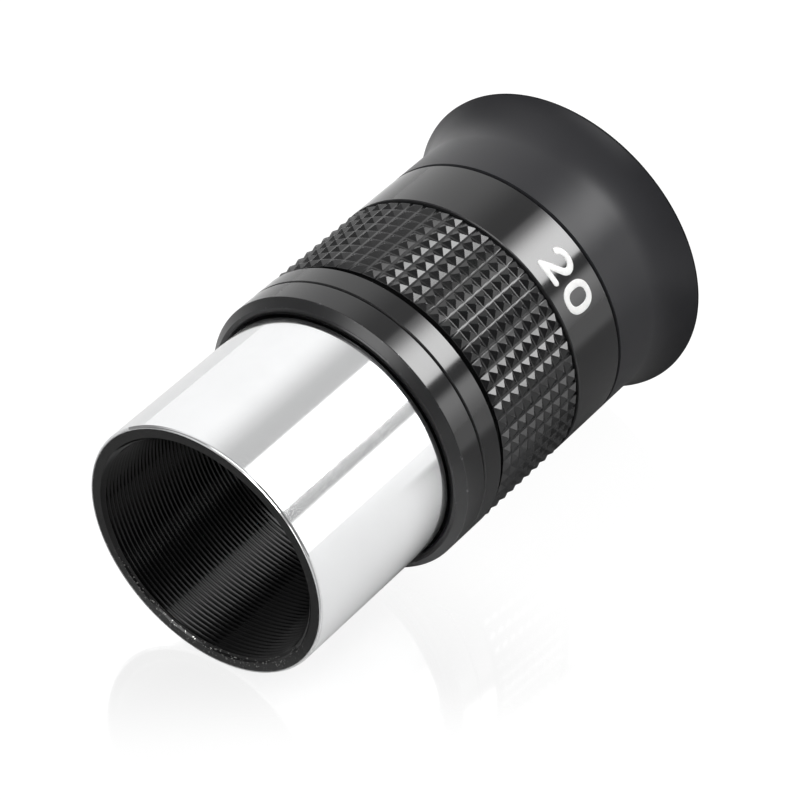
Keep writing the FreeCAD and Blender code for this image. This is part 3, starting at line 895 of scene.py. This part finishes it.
def two_sections():
    """The sections of a whole 2: the arch and stem, the sharp turn, and the foot. The stem stops, and the
    foot starts, just clear of the turn."""
    arch, foot_end = two_line()
    corner = arch[-1]
    turn, inner = corner_sections(arch[-2], corner, foot_end)
    reach = max((inner - corner).dot((point - corner).normalized()) for point in (arch[-2], foot_end))
    reach *= 1.02
    stem = sections_of([point for point in arch if (point - corner).length > reach], caps=(True, False))
    foot_start = corner + (foot_end - corner).normalized() * reach
    foot = sections_of([foot_start, foot_end], caps=(False, True))
    return stem + turn + foot


def make_number():
    start, end, _ = span("focal_length_mark")
    station = (start + end) / 2
    radius = span("marked_ring")[2]
    half_step = NUMBER_SPACING / radius / 2
    vertices = []
    faces = []
    zero = sections_of(zero_line(), closed=True)
    stroke_mesh(two_sections(), False, NUMBER_ANGLE - half_step, radius, station, vertices, faces)
    stroke_mesh(zero, True, NUMBER_ANGLE + half_step, radius, station, vertices, faces)
    thing = mesh_object("focal_length_number", vertices, faces, merge=True)
    face_outwards(thing)
    finish_piece(thing, "white_paint", "focal_length_mark")


# ---------------------------------------------------------------- eyecup

def make_eyecup():
    """A straight band and a flared skirt, with an inner bead that snaps into the cell's groove."""
    start, end, rim = span("eyecup")
    band, band_end = 17.75, 60.0
    throat, throat_start = 16.35, 60.35
    bore = RING_SEAT + 0.03
    bead, bead_start, bead_end = 15.55, 56.2, 57.2
    stop_bore, stop_start = 15.2, 59.25
    lip_start = end - 0.35
    flare = arc_between((band, band_end), (rim, lip_start), 9.9, 1, 28)
    inside = arc_between((rim - 1.0, lip_start), (throat, throat_start), 10.5, -1, 24)
    outline = [
        (bore, start, 0),
        (band, start - SEAM, 0.14),
        (band, band_end, 0),
        *flare,
        (rim, lip_start, 0.22),
        (rim - 0.45, end, 0.3),
        (rim - 1.0, lip_start, 0.22),
        *inside,
        (throat, throat_start, 0),
        (stop_bore, band_end, 0.15),
        (stop_bore, stop_start, 0.1),
        (bore, stop_start, 0),
        (bore, bead_end, 0),
        (bead, bead_end, 0),
        (bead, bead_start, 0),
        (bore, bead_start, 0),
    ]
    thing = lathe("rubber_eyecup", rounded(outline), flat_angle=50)
    thing.data.materials.append(LOOKS["cup_rubber"])
    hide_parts("eyecup")
    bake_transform(thing)


# ---------------------------------------------------------------- lenses

def lens_surface(edge, station, curve, side):
    """Rows from the axis to the edge of a sphere whose centre lies towards the eye (side 1) or the mouth
    (side -1)."""
    count = 32
    rows = []
    for step in range(count + 1):
        radius = edge * step / count
        sag = curve - math.sqrt(curve**2 - radius**2)
        rows.append((radius, station + side * sag, 0.0))
    return rows


def lens_rows(edge, front, back):
    """Rows of a lens. front and back are (station on the axis, radius of curvature, side)."""
    bevel = 0.15
    front_rows = lens_surface(edge - bevel, *front)
    back_rows = lens_surface(edge - bevel, *back)
    rim = [(edge, front_rows[-1][1] + bevel, 0.0), (edge, back_rows[-1][1] - bevel, 0.0)]
    return front_rows + rim + back_rows[::-1]


def make_lenses():
    wide, narrow = 13.25, 11.8
    glue = 0.02
    lenses = (
        ("field_lens_flint", "field_flint", wide, (32.3, 70.0, -1), (33.8 - glue, 25.8, 1)),
        ("field_lens_crown", "field_crown", wide, (33.8, 25.8, 1), (42.8, 28.2, -1)),
        ("middle_lens", "middle_element", wide, (43.2, 53.0, 1), (47.8, 53.0, -1)),
        ("eye_lens_crown", "eye_crown", narrow, (48.2, 28.2, 1), (54.7 - glue, 28.2, -1)),
        ("eye_lens_flint", "eye_flint", narrow, (54.7, 28.2, -1), (56.2, 200.0, 1)),
    )
    for node, name, edge, front, back in lenses:
        thing = lathe(name, lens_rows(edge, front, back), turns=128, flat_angle=25)
        finish_piece(thing, "coated_glass", node)


make_sleeve()
make_tube()
make_field_stop()
make_baffle()
make_collar()
make_housing()
make_marked_ring()
make_cell()
make_retainer()
make_grip()
make_number()
make_eyecup()
make_lenses()

# The hidden spacers and grub screws stay as CAD made them, with a material each.
for node, slot in (("lower_spacer", "black_bore"), ("upper_spacer", "black_bore"), ("lock_screws", "steel")):
    for material_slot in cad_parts[node].material_slots:
        material_slot.material = LOOKS[slot]

# ---------------------------------------------------------------- camera, table and light

# The eyepiece rests on its mouth's rim and on the flare of its eyecup, so the table slopes along the axis.
MOUTH_RIM = 15.875
FLARE_RIM = 20.0
FLARE_STATION = 66.5
TILT = math.asin((FLARE_RIM - MOUTH_RIM) / FLARE_STATION)
TABLE_UP = Vector((0, math.sin(TILT), math.cos(TILT)))
TABLE_DROP = MOUTH_RIM * math.cos(TILT) * MM
TABLE_REACH = 3.0             # metres

CAMERA_PLACE = Vector((203.1, -222.0, 264.9)) * MM
CAMERA_DIRECTION = Vector((-0.4800, 0.6078, -0.6327))
CAMERA_SIDE = math.atan2(-CAMERA_DIRECTION.x, -CAMERA_DIRECTION.z)


def make_camera():
    data = bpy.data.cameras.new("camera")
    data.sensor_width = 36.0
    data.lens = 167.85
    data.clip_start = 0.01
    data.clip_end = 20.0
    camera = bpy.data.objects.new("camera", data)
    bpy.context.scene.collection.objects.link(camera)
    back = -CAMERA_DIRECTION.normalized()
    right = TABLE_UP.cross(back).normalized()
    matrix = Matrix((right, back.cross(right), back)).transposed().to_4x4()
    matrix.translation = CAMERA_PLACE
    camera.matrix_world = matrix
    bpy.context.scene.camera = camera


def table_look():
    """A pale table. The camera sees it as white with a gloss in front of the mouth, where its glow is turned
    down a little as painted shade. What it lends to the eyepiece's reflections is pale too, but darker before
    the mouth and along the side: painted shade and painted shadow."""
    look = Look("pale_table", (0.79, 0.79, 0.79), 0.5)
    across, along = look.position_mm("X"), look.position_mm("Y")
    # Painted shadow along the body's side and painted shade before the mouth, darkening the colour the table
    # lends to reflections
    behind = look.math("SUBTRACT", along, look.times(across, 0.65))
    beside = look.times(look.between(across, 110.0, 70.0), look.between(across, -25.0, 5.0))
    painted_side_shadow = look.times(beside, look.between(behind, 12.0, 25.0))
    painted_mouth_shade = look.times(look.between(along, -1.0, -9.0), look.between(along, -110.0, -70.0), 0.7)
    shade = look.math("MAXIMUM", painted_side_shadow, painted_mouth_shade)
    look.set("Base Color", look.mix(shade, (0.79, 0.79, 0.79), (0.16, 0.16, 0.16)))

    seen = look.nodes.new("ShaderNodeBsdfPrincipled")
    look.feed(seen, "Base Color", (0.04, 0.04, 0.04, 1))
    look.feed(seen, "Roughness", 0.08)
    look.feed(seen, "IOR", 1.9)
    look.feed(seen, "Emission Color", (1, 1, 1, 1))
    before = look.math("SUBTRACT", look.times(across, 0.62), look.times(along, 0.78))
    # Real gloss before the mouth; the same mask turns the glow down there, which is painted shade
    gloss_and_painted_shade = look.times(look.between(along, 34.0, 6.0), look.between(before, 16.0, 1.0))
    look.feed(seen, "Specular IOR Level", look.total(0.20, (gloss_and_painted_shade, 0.65)))
    look.feed(seen, "Emission Strength", look.total(0.97, (gloss_and_painted_shade, -0.12)))

    chosen = look.nodes.new("ShaderNodeMixShader")
    look.feed(chosen, 0, look.nodes.new("ShaderNodeLightPath").outputs["Is Camera Ray"])
    look.feed(chosen, 1, look.shader.outputs[0])
    look.feed(chosen, 2, seen.outputs[0])
    look.feed(look.nodes["Material Output"], "Surface", chosen.outputs[0])
    return look.material


def make_table():
    across = Vector((TABLE_REACH, 0, 0))
    along = TABLE_UP.cross(across)
    middle = -TABLE_UP * TABLE_DROP
    corners = [middle + across * i + along * j for i, j in ((-1, -1), (1, -1), (1, 1), (-1, 1))]
    mesh = bpy.data.meshes.new("table")
    mesh.from_pydata(corners, [], [(0, 1, 2, 3)])
    mesh.materials.append(table_look())
    table = bpy.data.objects.new("table", mesh)
    bpy.context.scene.collection.objects.link(table)


# The studio round the eyepiece's axis, as (degrees from the camera's side, brightness or share). It shows
# MOUTH_WALLS towards the mouth's end, WALLS towards the eye's end, and WALLS times MIDDLE_SHARE between them.
WALLS = (
    (-180, 1.0), (-130, 1.15), (-72, 1.22), (-66, 1.16), (-60, 1.05), (-52, 0.84), (-44, 0.66), (-28, 0.60),
    (17, 0.50), (60, 0.50), (120, 0.5), (180, 0.8),
)
MIDDLE_SHARE = ((-180, 0.22), (-105, 0.25), (-80, 0.85), (20, 1.0), (50, 0.7), (180, 0.4))
MOUTH_WALLS = (
    (-180, 0.20), (-140, 0.28), (-124, 0.34), (-110, 0.25), (-96, 0.14), (70, 0.10), (120, 0.15), (180, 0.20),
)
SOFTBOX = (
    (-27.5, 0.0), (-27, 0.07), (-22, 0.20), (-18, 0.42), (-14, 0.68), (-10, 0.87), (-5, 0.98), (2, 1.0),
    (10, 0.96), (15.5, 0.84), (16.5, 0.0), (27, 0.0), (29, 0.10), (33, 0.22), (40, 0.21), (50, 0.12),
    (58, 0.07), (80, 0.0),
)
OVERHEAD = ((-64, 0.0), (-55, 1.0), (-20, 1.0), (-10, 0.0))
# The studio along the axis, as (lean from -1 at the mouth's end to 1 at the eye's end, share). The walls
# change at MOUTH_WALLS_END and at EYE_END.
MOUTH_WALLS_END = ((-0.24, 0.0), (-0.10, 1.0))
EYE_END = ((0.30, 0.0), (0.54, 1.0))
SOFTBOX_REACH = ((0.46, 0.0), (0.56, 1.0), (0.68, 1.0), (0.84, 0.0))
OVERHEAD_REACH = ((-0.97, 0.0), (-0.90, 1.0), (-0.46, 1.0), (-0.36, 0.0))
SOFTBOX_POWER = 11.0
OVERHEAD_POWER = 3.6


class Studio(Shading):
    """A world told by each direction's turn round the eyepiece's axis and its lean along the axis."""

    def __init__(self, world):
        world.use_nodes = True
        super().__init__(world.node_tree)
        self.nodes.clear()
        self.direction = self.nodes.new("ShaderNodeTexCoord").outputs["Generated"]
        towards = self.along((math.sin(CAMERA_SIDE), 0, math.cos(CAMERA_SIDE)))
        beside = self.along((math.cos(CAMERA_SIDE), 0, -math.sin(CAMERA_SIDE)))
        self.turn = self.times(self.math("ARCTAN2", beside, towards), 180 / math.pi)
        self.lean = self.along((0, 1, 0))

    def along(self, vector):
        node = self.nodes.new("ShaderNodeVectorMath")
        node.operation = "DOT_PRODUCT"
        self.feed(node, 0, self.direction)
        self.feed(node, 1, vector)
        return node.outputs["Value"]

    def follow(self, value, limit, stops):
        """A grey level that follows stops of (value, level), for values from -limit to limit."""
        share = self.nodes.new("ShaderNodeMapRange")
        self.feed(share, "Value", value)
        self.feed(share, "From Min", -limit)
        self.feed(share, "From Max", limit)
        ramp = self.nodes.new("ShaderNodeValToRGB")
        self.feed(ramp, "Fac", share.outputs["Result"])
        elements = ramp.color_ramp.elements
        while len(elements) < len(stops):
            elements.new(0.5)
        for element, (at, level) in zip(elements, stops):
            element.position = (at + limit) / (2 * limit)
            element.color = (level, level, level, 1)
        return ramp.outputs["Color"]

    def round_axis(self, stops):
        return self.follow(self.turn, 180, stops)

    def along_axis(self, stops):
        return self.follow(self.lean, 1, stops)

    def background(self, colour):
        node = self.nodes.new("ShaderNodeBackground")
        self.feed(node, "Color", colour)
        return node.outputs[0]


def make_world():
    """A pale studio with a softbox high beyond the eye's end and a panel high beyond the mouth's end. The
    camera itself sees plain white behind the eyepiece."""
    world = bpy.data.worlds.new("studio")
    bpy.context.scene.world = world
    studio = Studio(world)
    past_mouth = studio.along_axis(MOUTH_WALLS_END)
    middle = studio.round_axis(MIDDLE_SHARE)
    held_back = studio.math("SUBTRACT", 1.0, middle)
    share = studio.total(middle, (studio.along_axis(EYE_END), held_back))
    main_walls = studio.times(studio.round_axis(WALLS), past_mouth, share)
    mouth_walls = studio.times(studio.round_axis(MOUTH_WALLS), studio.math("SUBTRACT", 1.0, past_mouth))
    softbox = studio.times(studio.round_axis(SOFTBOX), studio.along_axis(SOFTBOX_REACH))
    overhead = studio.times(studio.round_axis(OVERHEAD), studio.along_axis(OVERHEAD_REACH))
    walls = studio.math("ADD", main_walls, mouth_walls)
    light = studio.total(walls, (softbox, SOFTBOX_POWER), (overhead, OVERHEAD_POWER))
    mixed = studio.nodes.new("ShaderNodeMixShader")
    studio.feed(mixed, 0, studio.nodes.new("ShaderNodeLightPath").outputs["Is Camera Ray"])
    studio.feed(mixed, 1, studio.background(light))
    studio.feed(mixed, 2, studio.background((1, 1, 1, 1)))
    studio.feed(studio.nodes.new("ShaderNodeOutputWorld"), "Surface", mixed.outputs[0])


make_camera()
make_table()
make_world()
bpy.context.scene.view_settings.view_transform = "Standard"
bpy.context.scene.view_settings.look = "None"

bpy.context.view_layer.update()
